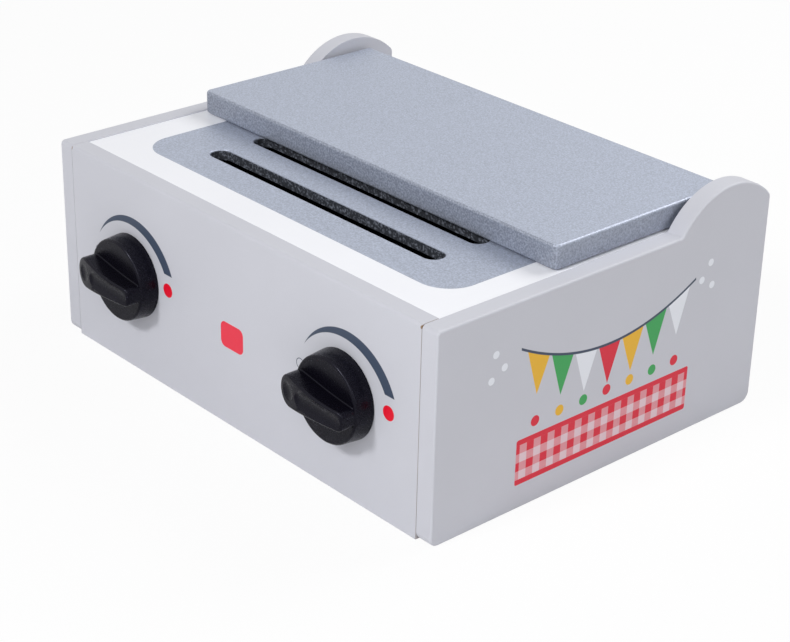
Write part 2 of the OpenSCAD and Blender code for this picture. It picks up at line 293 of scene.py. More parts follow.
def ball(name, centre, radius, reach=(0, 0, 0)):
    """A ball with its poles along X, drawn out to a bar with round ends by a reach."""
    start_fresh()
    bpy.ops.mesh.primitive_uv_sphere_add(
        segments=64, ring_count=48, radius=radius, location=centre,
        rotation=(0, QUARTER, 0))
    piece = settle(name)
    pick(piece, "VERT", lambda v: v.co.x > centre[0] - ONE_POINT / 2)
    bpy.ops.transform.translate(value=reach)
    return settle(name)


def pick(piece, kind, wanted):
    """Selects the points, edges or faces of a piece that pass a test, in edit mode."""
    take(piece)
    bpy.ops.object.mode_set(mode="EDIT")
    bpy.ops.mesh.select_mode(type=kind)
    bpy.ops.mesh.select_all(action="DESELECT")
    mesh = bmesh.from_edit_mesh(piece.data)
    parts = {"VERT": mesh.verts, "EDGE": mesh.edges, "FACE": mesh.faces}[kind]
    for part in parts:
        part.select_set(bool(wanted(part)))
    bmesh.update_edit_mesh(piece.data)


def round_edges(piece, radius, wanted, segments=4):
    """Rounds the edges of a piece that pass a test."""
    pick(piece, "EDGE", wanted)
    bpy.ops.mesh.bevel(
        offset=radius, offset_type="OFFSET", segments=segments, profile=0.5,
        affect="EDGES", clamp_overlap=False)
    bpy.ops.object.mode_set(mode="OBJECT")


def in_plane(axis, level):
    """A test for edges that lie in a plane square to an axis."""
    return lambda edge: all(abs(v.co[axis] - level) < HAIR for v in edge.verts)


def sharp(edge, least=40):
    """Whether two faces meet at an edge at more than an angle in degrees."""
    return len(edge.link_faces) == 2 and edge.calc_face_angle() > math.radians(least)


def combine(piece, other, how):
    """Joins another shape to a piece, or cuts it away, and uses it up."""
    take(piece)
    modifier = piece.modifiers.new("Combine", "BOOLEAN")
    modifier.operation = how
    modifier.solver = "EXACT"
    modifier.object = other
    bpy.ops.object.modifier_apply(modifier=modifier.name)
    bpy.data.objects.remove(other)


def drill(piece, start, end, radius, sides=64):
    """Cuts a round hole from one point to another."""
    combine(piece, rod("cutter", start, end, radius, sides=sides), "DIFFERENCE")


def face_outwards():
    """Turns all faces of the piece in edit mode outwards."""
    bpy.ops.mesh.select_all(action="SELECT")
    bpy.ops.mesh.normals_make_consistent(inside=False)


def copied(piece, name, place):
    """A copy of a piece with its own mesh, moved or mirrored by a matrix."""
    take(piece)
    bpy.ops.object.duplicate(linked=False)
    copy = bpy.context.active_object
    copy.matrix_world = place
    copy = settle(name)
    bpy.ops.object.mode_set(mode="EDIT")
    face_outwards()
    bpy.ops.object.mode_set(mode="OBJECT")
    return copy


def tidy_mesh(piece):
    """Merges doubled points and turns all faces outwards."""
    pick(piece, "VERT", lambda v: True)
    bpy.ops.mesh.remove_doubles(threshold=ONE_POINT)
    face_outwards()
    bpy.ops.object.mode_set(mode="OBJECT")


def smooth(piece, degrees=35):
    """Smooth shading on the rounded edges, with the flat faces kept flat."""
    take(piece)
    bpy.ops.object.shade_smooth_by_angle(angle=math.radians(degrees))
    modifier = piece.modifiers.new("Flat faces", "WEIGHTED_NORMAL")
    modifier.keep_sharp = True
    modifier.weight = 100
    bpy.ops.object.modifier_apply(modifier=modifier.name)


class Pen:
    """Draws a closed outline in edit mode, stroke by stroke, square to one axis."""

    def __init__(self, start, across):
        start_fresh()
        self.at = Vector(start)
        self.across = Vector(across)
        bpy.ops.mesh.primitive_plane_add(size=MM, location=self.at)
        bpy.ops.object.mode_set(mode="EDIT")
        bpy.ops.mesh.select_mode(type="VERT")
        bpy.ops.mesh.select_all(action="SELECT")
        bpy.ops.mesh.merge(type="CENTER")

    def line(self, to):
        """A straight stroke to a point."""
        to = Vector(to)
        bpy.ops.mesh.extrude_region_move(TRANSFORM_OT_translate={"value": to - self.at})
        self.at = to

    def arc(self, centre, turn, step=math.radians(7.5)):
        """A round stroke about a centre, through an angle in radians."""
        centre = Vector(centre)
        # Spin turns the other way from a quaternion
        bpy.ops.mesh.spin(
            steps=max(3, round(abs(turn) / step)), angle=-turn, center=centre,
            axis=self.across)
        self.at = centre + Quaternion(self.across, turn) @ (self.at - centre)

    def fill(self, name, thickness):
        """Closes the outline and gives it a thickness."""
        bpy.ops.mesh.select_all(action="SELECT")
        bpy.ops.mesh.remove_doubles(threshold=ONE_POINT)
        bpy.ops.mesh.edge_face_add()
        bpy.ops.mesh.extrude_region_move(
            TRANSFORM_OT_translate={"value": self.across * thickness})
        face_outwards()
        return settle(name)


def put_on(piece, body, slot, material, *nodes):
    """Gives a finished piece its material, its body and the nodes that it stands for."""
    piece.data.materials.clear()
    piece.data.materials.append(material)
    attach(piece, body)
    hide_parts(*nodes)


def coat_nodes(material, *nodes):
    """Gives pieces whose shape is used as it is a better material."""
    for node in nodes:
        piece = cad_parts[node]
        for place in piece.material_slots:
            place.material = material


# Materials ------------------------------------------------------------------

MIX_FACTOR, MIX_A, MIX_B, MIX_RESULT = 0, 6, 7, 2


class Level:
    """A number that varies over a surface. Python's operators add Math nodes to it."""

    def __init__(self, recipe, socket):
        self.recipe = recipe
        self.socket = socket

    def __add__(self, other):
        return self.recipe.math("ADD", self, other)

    def __radd__(self, other):
        return self.recipe.math("ADD", other, self)

    def __sub__(self, other):
        return self.recipe.math("SUBTRACT", self, other)

    def __rsub__(self, other):
        return self.recipe.math("SUBTRACT", other, self)

    def __mul__(self, other):
        return self.recipe.math("MULTIPLY", self, other)

    def __rmul__(self, other):
        return self.recipe.math("MULTIPLY", other, self)

    def __truediv__(self, other):
        return self.recipe.math("DIVIDE", self, other)

    def __rtruediv__(self, other):
        return self.recipe.math("DIVIDE", other, self)

    def __abs__(self):
        return self.recipe.math("ABSOLUTE", self)

    def __gt__(self, other):
        return self.recipe.math("GREATER_THAN", self, other)

    def __lt__(self, other):
        return self.recipe.math("LESS_THAN", self, other)


class Recipe:
    """The nodes of a material or of the world, in the making."""

    def __init__(self, tree):
        self.tree = tree

    def node(self, kind, settings=None, inputs=None):
        """Adds a node, sets it up and feeds its sockets with values or links."""
        node = self.tree.nodes.new(kind)
        for name, value in (settings or {}).items():
            setattr(node, name, value)
        for name, value in (inputs or {}).items():
            self.feed(node.inputs[name], value)
        return node

    def feed(self, socket, value):
        """Links a level or a socket to a socket, or sets a plain value on it."""
        if isinstance(value, Level):
            value = value.socket
        if isinstance(value, bpy.types.NodeSocket):
            self.tree.links.new(value, socket)
        else:
            socket.default_value = value

    def math(self, operation, *values, clamped=False):
        """One Math node on values or levels."""
        node = self.node(
            "ShaderNodeMath", {"operation": operation, "use_clamp": clamped},
            dict(enumerate(values)))
        return Level(self, node.outputs[0])


class Finish(Recipe):
    """A material in the making: its nodes, its shader and the place on the piece."""

    def __init__(self, name, **constants):
        self.material = bpy.data.materials.new(name)
        self.material.use_nodes = True
        super().__init__(self.material.node_tree)
        self.shader = self.tree.nodes["Principled BSDF"]
        self.set(**constants)
        self.place = self.node("ShaderNodeTexCoord").outputs["Object"]
        parts = self.node("ShaderNodeSeparateXYZ", {}, {"Vector": self.place})
        self.x, self.y, self.z = (Level(self, part) for part in parts.outputs)

    def set(self, **sockets):
        """Feeds the shader's own sockets."""
        for socket, value in sockets.items():
            self.feed(self.shader.inputs[socket.replace("_", " ")], value)

    def mix(self, base, top, share):
        """Two colours mixed by a level."""
        node = self.node(
            "ShaderNodeMix", {"data_type": "RGBA"},
            {MIX_FACTOR: share, MIX_A: paint(base), MIX_B: paint(top)})
        return node.outputs[MIX_RESULT]

    def tones(self, value, dark, light, share):
        """One colour from a darker tone to a lighter one, by a level."""
        return self.mix(shade(value, dark), shade(value, light), share)

    def noise(self, grain, detail=2.0, stretch=(1, 1, 1), seed=0.0):
        """Cloudy variation from 0 to 1, with features of a size in metres."""
        spread = self.node(
            "ShaderNodeMapping", {},
            {"Vector": self.place, "Scale": stretch, "Location": (seed, seed, seed)})
        node = self.node(
            "ShaderNodeTexNoise", {},
            {"Vector": spread.outputs[0], "Scale": 1 / grain, "Detail": detail})
        return Level(self, node.outputs[0])

    def contrast(self, level, low, high):
        """0 where a level is low, 1 where it is high, and even in between."""
        slope = 1 / (high - low)
        return self.math("MULTIPLY_ADD", level, slope, -low * slope, clamped=True)

    def bump(self, height, depth):
        """Unevenness of the surface, with its depth in metres."""
        node = self.node(
            "ShaderNodeBump", {}, {"Height": height, "Distance": depth, "Strength": 1.0})
        self.set(Normal=node.outputs[0])

    def within(self, distance, blur=0.12 * MM):
        """1 where a distance is negative and 0 where it is positive, with a fine edge."""
        return self.math("MULTIPLY_ADD", distance, -1 / blur, 0.5, clamped=True)

    def radius(self, across, up, centre):
        """Distance from a centre, in the plane of two coordinates."""
        side, rise = across - centre[0], up - centre[1]
        return self.math("SQRT", side * side + rise * rise)

    def beyond_box(self, across, up, centre, half, corner):
        """Distance outside a rectangle, whose corner radius has to be above 0."""
        side = self.math("MAXIMUM", abs(across - centre[0]) - (half[0] - corner), 0)
        rise = self.math("MAXIMUM", abs(up - centre[1]) - (half[1] - corner), 0)
        return self.math("SQRT", side * side + rise * rise) - corner

    def inside(self):
        """1 on the faces that look into the case, under the top board."""
        slack = 0.2 * MM
        return (
            self.within(abs(self.x) - SIDE_LOW.x - slack)
            * self.within(abs(self.y) - BACK_LOW.y - slack)
            * self.within(self.z - BOARD_LOW.z)
            * self.within(BASE_TOP - slack - self.z))


def paint(value):
    """A colour as the renderer takes it; sockets pass as they are."""
    if isinstance(value, bpy.types.NodeSocket):
        return value
    return (*value[:3], 1.0)


def shade(value, factor):
    """A colour made darker or lighter."""
    return [min(1.0, part * factor) for part in value]


def case_lacquer(name, colours, prints=None):
    """Pale grey lacquer, sprayed on smooth board, with prints on top of it."""
    finish = Finish(name, Specular_IOR_Level=0.35)
    clouds = finish.noise(40 * MM, detail=3.0)
    skin = finish.noise(1.6 * MM)
    coat = finish.tones(colours.case, 0.97, 1.03, clouds)
    for mask, ink in (prints(finish) if prints else []):
        coat = finish.mix(coat, ink, mask)
    # Faces inside the case, below the top board, turn near black
    coat = finish.mix(coat, colours.inside, finish.inside())
    finish.set(Base_Color=coat, Roughness=0.42 + 0.1 * skin)
    finish.bump(skin, 0.03 * MM)
    return finish.material


# How far in from a panel's outer face a print may reach
PRINT_REACH = 2 * MM
# Round marks of one dial: how far right of and above its middle, and their radius
CRESCENT_OUTER = (3.1 * MM, -1.8 * MM, 30.95 * MM)
CRESCENT_INNER = (0, -4.2 * MM, 29.6 * MM)
CRESCENT_FOOT = 10.3 * MM
DIAL_DOT = (28.2 * MM, 2.9 * MM, 3.3 * MM)
DIAL_RING = (-26.7 * MM, 2.9 * MM, 2.4 * MM)
RING_LINE = 0.35 * MM
# How far each dial is printed off its knob's axis, where the ring is in its place
DIAL_SLIPS = {"left": (-1.6 * MM, -0.9 * MM), "right": (-0.2 * MM, 0)}
LAMP_CENTRE = (0, 43.7 * MM)
LAMP_HALF = (7.75 * MM, 6.0 * MM)
LAMP_CORNER = 3.0 * MM
# The dirty line at the front panel's ends, and the bare spot at its top corners
SEAM_SHADE = 0.25 * MM
SEAM_DIRT = 0.4
WORN_RADIUS = 0.8 * MM
WORN_DROP = 1.2 * MM


def dial_prints(finish):
    """The dial marks round both knobs and the lamp square between them."""
    colours = bpy.context.scene.oven_colours
    front = finish.y < FRONT_LOW.y + PRINT_REACH

    def far(mark, middle):
        """Distance outside a round mark."""
        centre = (middle[0] + mark[0], middle[1] + mark[1])
        return finish.radius(finish.x, finish.z, centre) - mark[2]

    prints = []
    for name, side in SIDES:
        axis, slip = (side * KNOB_X, KNOB_Z), DIAL_SLIPS[name]
        middle = (axis[0] + slip[0], axis[1] + slip[1])
        crescent = (
            finish.within(far(CRESCENT_OUTER, middle))
            * (1 - finish.within(far(CRESCENT_INNER, middle)))
            * finish.within(middle[1] + CRESCENT_FOOT - finish.z))
        ring = finish.within(abs(far(DIAL_RING, axis)) - RING_LINE / 2)
        prints.append((front * crescent, colours.slate))
        prints.append((front * ring, colours.slate))
        prints.append((front * finish.within(far(DIAL_DOT, middle)), colours.dot))
    lamp = finish.beyond_box(finish.x, finish.z, LAMP_CENTRE, LAMP_HALF, LAMP_CORNER)
    prints.append((front * finish.within(lamp), colours.lamp))
    seam = finish.within(FRONT_HIGH.x - SEAM_SHADE - abs(finish.x))
    prints.append((SEAM_DIRT * seam, colours.bare))
    spot = (FRONT_HIGH.x, FRONT_HIGH.z - WORN_DROP)
    worn = finish.radius(abs(finish.x), finish.z, spot) - WORN_RADIUS
    prints.append((front * finish.within(worn), colours.bare))
    return prints


# Side decoration: a check strip below a garland of pennants and a row of dots
STRIP_CENTRE = (0, 22 * MM)
STRIP_HALF = (52 * MM, 10.5 * MM)
STRIP_CORNER = 1.0 * MM
STRIP_CHECK = 4.0 * MM
STRIP_PIPING = 2.5 * MM
# How strong the red is where no stripe of the checks runs, and what each stripe adds
CHECK_BASE, CHECK_STRIPE = 0.3, 0.35
GARLAND_TOP = 74 * MM
GARLAND_SAG = 14 * MM
GARLAND_HALF = 52 * MM
STRING_HALF = 0.6 * MM
PENNANT_PITCH = 14 * MM
PENNANT_HALF = 6.5 * MM
PENNANT_DROP = 18.5 * MM
PENNANT_COUNT = 7
DOT_ROW_Z = 38.5 * MM
DOT_RADIUS = 2.4 * MM
# Loose specks beside the garland, in millimetres
SPECKS = [(-66, 76), (-61, 69), (-68, 65), (61, 79), (56, 72), (63, 68)]
SPECK_RADIUS = 1.7 * MM


def side_prints(finish):
    """The decoration on the outer face of the right side panel."""
    colours = bpy.context.scene.oven_colours
    inks = [colours.red, colours.yellow, colours.green, colours.pale]
    outer = finish.x > SIDE_HIGH.x - PRINT_REACH
    across, up = finish.y, finish.z

    strip = finish.beyond_box(across, up, STRIP_CENTRE, STRIP_HALF, STRIP_CORNER)
    body = outer * finish.within(strip)
    stripes = [
        finish.math("PINGPONG", level / STRIP_CHECK, 1) > 0.5 for level in (across, up)]
    checks = (stripes[0] + stripes[1]) * CHECK_STRIPE + CHECK_BASE
    piping = finish.within(STRIP_HALF[1] - STRIP_PIPING - abs(up - STRIP_CENTRE[1]))
    prints = [
        (body, colours.pale), (body * checks, colours.red), (body * piping, colours.red)]

    cell = finish.math("ROUND", across / PENNANT_PITCH)
    aside = across - cell * PENNANT_PITCH
    row = outer * (abs(cell) < PENNANT_COUNT / 2)

    def in_turn(shape, inks):
        """A row of like shapes, one to a cell, in inks that take turns."""
        count = finish.math("FLOORED_MODULO", cell, len(inks))
        return [
            (shape * finish.math("COMPARE", count, i, 0.5), ink)
            for i, ink in enumerate(inks)]

    reach = across / GARLAND_HALF
    string = GARLAND_TOP - GARLAND_SAG + GARLAND_SAG * reach * reach
    drop = string - up
    taper = PENNANT_HALF - drop * (PENNANT_HALF / PENNANT_DROP)
    pennant = row * finish.within(abs(aside) - taper) * finish.within(up - string)
    prints += in_turn(pennant, inks)
    thread = finish.within(abs(drop) - STRING_HALF) * finish.within(
        abs(across) - GARLAND_HALF)
    prints.append((outer * thread, colours.slate))
    dot = finish.radius(aside, up, (0, DOT_ROW_Z)) - DOT_RADIUS
    prints += in_turn(row * finish.within(dot), inks[:3])
    for speck in SPECKS:
        centre = (speck[0] * MM, speck[1] * MM)
        mark = finish.within(finish.radius(across, up, centre) - SPECK_RADIUS)
        prints.append((outer * mark, colours.pale))
    return prints


SILVER_METAL = 0.4
# How far in from the lid's front and ends the silver is darkened by painted shade, and the
# dark tone that it takes
EDGE_SHADE = 0.8 * MM
EDGE_TONE = 0.3
# How much of that tone shows on a smooth part, what grit adds, and the ends' share
EDGE_SMOOTH, EDGE_GRIT, EDGE_ENDS = 0.15, 0.45, 0.6
# How far down the slots the silver stays before the walls are darkened by painted shade,
# and the roughness of the white round it
WALL_START = 0.7 * MM
WHITE_ROUGHNESS = 0.4


def silver_coat(finish, silver):
    """Colour and roughness of silver lacquer, with its fine metal flakes."""
    flakes = finish.noise(0.7 * MM)
    clouds = finish.noise(30 * MM)
    coat = finish.tones(silver, 0.76, 1.2, finish.contrast(flakes, 1 / 3, 2 / 3))
    coat = finish.mix(coat, shade(silver, 1.03), 0.3 * clouds)
    return coat, 0.36 + 0.16 * flakes, flakes


def silver_lacquer(name, colours):
    """Silver lacquer of the lid, with painted shade darkening its front edge and, more
    weakly, its ends, broken up by grit.
    """
    finish = Finish(name, Metallic=SILVER_METAL)
    coat, roughness, flakes = silver_coat(finish, colours.silver)
    front = finish.within(finish.y - LID_LOW.y - EDGE_SHADE)
    end = finish.within(LID_HIGH.x - EDGE_SHADE - abs(finish.x))
    edge = finish.math("MAXIMUM", front, EDGE_ENDS * end)
    grit = finish.contrast(finish.noise(0.9 * MM, detail=3.0), 0.375, 0.625)
    # Painted shade and reflection: the front edge, and more weakly the ends, turn towards a
    # dark silver, with grit in it
    painted_edge_shade = edge * (EDGE_SMOOTH + EDGE_GRIT * grit)
    coat = finish.mix(coat, shade(colours.silver, EDGE_TONE), painted_edge_shade)
    finish.set(Base_Color=coat, Roughness=roughness)
    finish.bump(flakes, 0.02 * MM)
    return finish.material


def board_lacquer(name, colours, sizes):
    """White lacquer of the top board, with a silver field round the slots and painted shade
    on the slot walls.
    """
    finish = Finish(name, Specular_IOR_Level=0.4)
    centre = (sizes.pattern_x, 0)
    half = (sizes.field_width / 2, sizes.field_depth / 2)
    field = finish.within(
        finish.beyond_box(finish.x, finish.y, centre, half, sizes.field_corner))
    coat, roughness, flakes = silver_coat(finish, colours.silver)
    clouds = finish.noise(40 * MM, detail=3.0)
    # Painted shade: below the rims, the slot walls and the board's underside turn to a dark
    # speckled silver
    wall = finish.within(finish.z - BOARD_HIGH.z + WALL_START)
    specks = finish.contrast(finish.noise(1.1 * MM, detail=3.0), 0.425, 0.675)
    white = finish.tones(colours.board, 0.98, 1.02, clouds)
    painted_slot_shade = finish.tones(colours.silver, 0.13, 0.8, specks * specks)
    finish.set(
        Base_Color=finish.mix(finish.mix(white, coat, field), painted_slot_shade, wall),
        Roughness=WHITE_ROUGHNESS + field * (roughness - WHITE_ROUGHNESS),
        Metallic=SILVER_METAL * field)
    finish.bump(flakes, 0.02 * MM)
    return finish.material


def black_plastic(name, colours):
    """Moulded black plastic with a fine satin grain."""
    finish = Finish(name, Specular_IOR_Level=0.19, Specular_Tint=(0.8, 0.8, 1.0, 1.0))
    grain = finish.noise(0.5 * MM)
    coat = finish.tones(colours.plastic, 0.8, 1.3, finish.noise(12 * MM))
    finish.set(Base_Color=coat, Roughness=0.2 + 0.14 * grain)
    finish.bump(grain, 0.016 * MM)
    return finish.material


# How far the wood's grain is drawn out along a board, and how many lines it has
GRAIN_DRAW = 0.06
GRAIN_LINES = 9


def bare_wood(name, colours, along):
    """Bare birch with its grain along one axis, near black where it looks into the case."""
    finish = Finish(name, Specular_IOR_Level=0.25)
    stretch = [1.0, 1.0, 1.0]
    stretch[along] = GRAIN_DRAW
    rings = finish.noise(5 * MM, detail=4.0, stretch=stretch)
    pores = finish.noise(0.8 * MM, stretch=stretch, seed=0.3)
    lines = finish.math("PINGPONG", rings * GRAIN_LINES, 1)
    coat = finish.mix(colours.wood, colours.grain, 0.45 * lines + 0.25 * pores)
    # Faces inside the case, below the top board, turn near black
    coat = finish.mix(coat, colours.inside, finish.inside())
    finish.set(Base_Color=coat, Roughness=0.62 + 0.15 * pores)
    finish.bump(pores, 0.06 * MM)
    return finish.material


def zinc_steel(name, colours):
    """Zinc plated steel of the screws, washers and pins."""
    finish = Finish(name, Metallic=1.0)
    stains = finish.noise(2.5 * MM, detail=3.0)
    coat = finish.tones(colours.steel, 0.85, 1.1, stains)
    finish.set(Base_Color=coat, Roughness=0.28 + 0.2 * stains)
    finish.bump(stains, 0.01 * MM)
    return finish.material


# Pieces ---------------------------------------------------------------------

class OVEN_OT_side_panels(bpy.types.Operator):
    """Models the two side panels with their humps"""
    bl_idname = "oven.side_panels"
    bl_label = "Side Panels"

    def outline(self, sizes):
        """One panel, drawn in side view and made thick."""
        x = SIDE_LOW.x
        front, back = SIDE_LOW.y, SIDE_HIGH.y
        top = sizes.flat_top
        hump = Vector((x, back - sizes.hump_back, SIDE_HIGH.z - sizes.hump_radius))
        reach = sizes.hump_radius - sizes.hump_corner
        corner_y = back - sizes.hump_corner
        rise = math.sqrt(reach ** 2 - (corner_y - hump.y) ** 2)
        corner = Vector((x, corner_y, hump.z + rise))
        corner_turn = math.atan2(corner.z - hump.z, corner.y - hump.y)
        foot_z = top + sizes.hump_foot
        foot_reach = sizes.hump_radius + sizes.hump_foot
        foot_y = hump.y - math.sqrt(foot_reach ** 2 - (foot_z - hump.z) ** 2)
        foot = Vector((x, foot_y, foot_z))
        foot_angle = math.atan2(foot.z - hump.z, foot.y - hump.y)

        pen = Pen((x, front + sizes.corner_front, 0), (1, 0, 0))
        pen.line((x, back - sizes.corner_back, 0))
        pen.arc((x, back - sizes.corner_back, sizes.corner_back), QUARTER)
        pen.line((x, back, corner.z))
        pen.arc(corner, corner_turn)
        pen.arc(hump, foot_angle - corner_turn, step=math.radians(2.5))
        pen.arc(foot, QUARTER - foot_angle)
        pen.line((x, front + sizes.corner_top, top))
        pen.arc((x, front + sizes.corner_top, top - sizes.corner_top), QUARTER)
        pen.line((x, front, sizes.corner_front))
        pen.arc((x, front + sizes.corner_front, sizes.corner_front), QUARTER)
        return pen.fill("right_side_board", SIDE_HIGH.x - x)

    def execute(self, context):
        sizes, colours = context.scene.oven_boards, context.scene.oven_colours
        right = self.outline(sizes)
        round_edges(right, sizes.arris, in_plane(0, SIDE_HIGH.x))
        round_edges(right, sizes.seam, in_plane(0, SIDE_LOW.x), segments=2)
        drill(
            right, (SIDE_LOW.x - MM, HINGE_Y, HINGE_Z),
            (PIN_HIGH.x + sizes.pin_clearance, HINGE_Y, HINGE_Z),
            (PIN_HIGH.z - PIN_LOW.z) / 2 + sizes.pin_clearance)
        drill_for_dowels(right, SIDE_LOW.x - MM, DOWEL_HIGH.x, (-1, 1))
        tidy_mesh(right)
        left = copied(right, "left_side_board", Matrix.Scale(-1, 4, (1, 0, 0)))
        for piece in (right, left):
            smooth(piece)
        plain = case_lacquer("case_lacquer", colours)
        printed = case_lacquer("case_lacquer_decorated", colours, side_prints)
        put_on(right, "case", "white_lacquer", printed, "right_side_panel")
        put_on(left, "case", "white_lacquer", plain, "left_side_panel")
        return {"FINISHED"}


def drill_for_dowels(piece, near, far, ends):
    """Drills for the dowels at the front, the back or both, from one x to another."""
    for end in ends:
        y = end * (-(DOWEL_LOW.y + DOWEL_R))
        for z in (DOWEL_LOW.z + DOWEL_R, DOWEL_HIGH.z - DOWEL_R):
            drill(piece, (near, y, z), (far, y, z), DOWEL_R, sides=32)


class OVEN_OT_end_panels(bpy.types.Operator):
    """Models the front panel with its knob holes, and the back panel"""
    bl_idname = "oven.end_panels"
    bl_label = "Front and Back Panels"

    def panel(self, name, low, high, outside, sizes):
        """A panel with a soft top edge on its outer side."""
        piece = block(name, low, high)
        outer = low.y if outside < 0 else high.y

        def soft(edge):
            """Whether an edge is the outer top one."""
            return all(
                abs(v.co.y - outer) < MM and abs(v.co.z - high.z) < MM for v in edge.verts)

        round_edges(piece, sizes.front_arris, soft, segments=6)
        round_edges(piece, sizes.seam, sharp, segments=2)
        bottom = high.x - sizes.dowel_hole
        for side in (-1, 1):
            drill_for_dowels(piece, side * bottom, side * (high.x + MM), (outside,))
        return piece

    def execute(self, context):
        sizes, colours = context.scene.oven_boards, context.scene.oven_colours
        front = self.panel("front_board", FRONT_LOW, FRONT_HIGH, -1, sizes)
        for side in (-1, 1):
            drill(
                front, (side * KNOB_X, FRONT_LOW.y - MM, KNOB_Z),
                (side * KNOB_X, FRONT_HIGH.y + MM, KNOB_Z), sizes.boss_bore)
        back = self.panel("back_board", BACK_LOW, BACK_HIGH, 1, sizes)
        for piece in (front, back):
            tidy_mesh(piece)
            smooth(piece)
        dials = case_lacquer("case_lacquer_dials", colours, dial_prints)
        plain = bpy.data.materials["case_lacquer"]
        put_on(front, "case", "white_lacquer", dials, "front_panel")
        put_on(back, "case", "white_lacquer", plain, "back_panel")
        return {"FINISHED"}


class OVEN_OT_top_board(bpy.types.Operator):
    """Models the top board with its slots"""
    bl_idname = "oven.top_board"
    bl_label = "Top Board"

    def slots(self, sizes):
        """All the slots as one cutter: one is made and repeated."""
        half = Vector((sizes.slot_length / 2, sizes.slot_width / 2, 0))
        first = sizes.pattern_y - sizes.slot_pitch * (sizes.slot_count - 1) / 2
        centre = Vector((sizes.pattern_x, first, 0))
        low = centre - half + Vector((0, 0, BOARD_LOW.z - MM))
        high = centre + half + Vector((0, 0, BOARD_HIGH.z + MM))
        cutter = block("cutter", low, high)
        round_edges(
            cutter, sizes.slot_width / 2 - HAIR,
            lambda edge: abs(edge.verts[0].co.z - edge.verts[1].co.z) > MM, segments=16)
        take(cutter)
        row = cutter.modifiers.new("Row", "ARRAY")
        row.count = sizes.slot_count
        row.use_relative_offset = False
        row.use_constant_offset = True
        row.constant_offset_displace = (0, sizes.slot_pitch, 0)
        bpy.ops.object.modifier_apply(modifier=row.name)
        return cutter

    def execute(self, context):
        sizes, colours = context.scene.oven_top_board, context.scene.oven_colours
        board = block("slotted_board", BOARD_LOW, BOARD_HIGH)
        combine(board, self.slots(sizes), "DIFFERENCE")
        reach = sizes.slot_length / 2 + abs(sizes.pattern_x) + MM

        def rim(edge):
            """Whether an edge is on the upper rim of a slot."""
            return (
                in_plane(2, BOARD_HIGH.z)(edge) and sharp(edge)
                and all(abs(v.co.x) < reach for v in edge.verts)
                and all(abs(v.co.y) < BOARD_HIGH.y - MM for v in edge.verts))

        round_edges(board, sizes.slot_rim, rim, segments=3)
        tidy_mesh(board)
        smooth(board)
        lacquer = board_lacquer("board_lacquer", colours, sizes)
        put_on(board, "case", "board_lacquer", lacquer, "top_board")
        return {"FINISHED"}


class OVEN_OT_lid(bpy.types.Operator):
    """Models the lid, with its round heel and the holes for its pins"""
    bl_idname = "oven.lid"
    bl_label = "Lid"

    def plan(self, sizes):
        """The lid drawn from above with round front corners, made thick and softened."""
        radius, front, back = sizes.corner, LID_LOW.y, LID_HIGH.y + MM
        low, high = LID_LOW.z, LID_HIGH.z
        pen = Pen((LID_LOW.x + radius, front, low), (0, 0, 1))
        pen.line((LID_HIGH.x - radius, front, low))
        pen.arc((LID_HIGH.x - radius, front + radius, low), QUARTER)
        pen.line((LID_HIGH.x, back, low))
        pen.line((LID_LOW.x, back, low))
        pen.line((LID_LOW.x, front + radius, low))
        pen.arc((LID_LOW.x + radius, front + radius, low), QUARTER)
        lid = pen.fill("silver_lid", high - low)

        def rim(edge):
            """Whether an edge is on a rim that the heel's cutter leaves."""
            flat = any(in_plane(2, level)(edge) for level in (low, high))
            return flat and any(v.co.y < back - MM / 2 for v in edge.verts)

        round_edges(lid, sizes.arris, rim)
        return lid

    def heel(self, sizes):
        """What the round back and the flat heel leave off the lid."""
        x, low, high = LID_LOW.x - MM, LID_LOW.z, LID_HIGH.z
        hinge = Vector((x, HINGE_Y, HINGE_Z))
        half = (high - low) / 2
        reach = half * (1 - math.sin(sizes.over)) / math.cos(sizes.over)
        corner = Vector((x, HINGE_Y + reach, high))
        beyond = LID_HIGH.y + 2 * MM
        pen = Pen((x, HINGE_Y, low - MM), (1, 0, 0))
        pen.line((x, HINGE_Y, low))
        pen.arc(hinge, QUARTER + sizes.over, step=math.radians(5))
        pen.line(corner - (corner - pen.at).normalized() * sizes.heel)
        pen.line(corner - Vector((0, sizes.heel, 0)))
        pen.line(corner + Vector((0, -sizes.heel, MM)))
        pen.line((x, beyond, high + MM))
        pen.line((x, beyond, low - MM))
        return pen.fill("cutter", LID_HIGH.x - LID_LOW.x + 2 * MM)

    def execute(self, context):
        sizes, colours = context.scene.oven_lid, context.scene.oven_colours
        lid = self.plan(sizes)
        combine(lid, self.heel(sizes), "DIFFERENCE")
        for end, way in ((LID_LOW.x, -1), (LID_HIGH.x, 1)):
            drill(
                lid, (end + way * MM, HINGE_Y, HINGE_Z),
                (end - way * sizes.pin_hole, HINGE_Y, HINGE_Z), sizes.pin_radius, sides=48)
        tidy_mesh(lid)
        smooth(lid)
        lacquer = silver_lacquer("silver_lacquer", colours)
        put_on(lid, "lid_board", "silver_lacquer", lacquer, "lid")
        return {"FINISHED"}


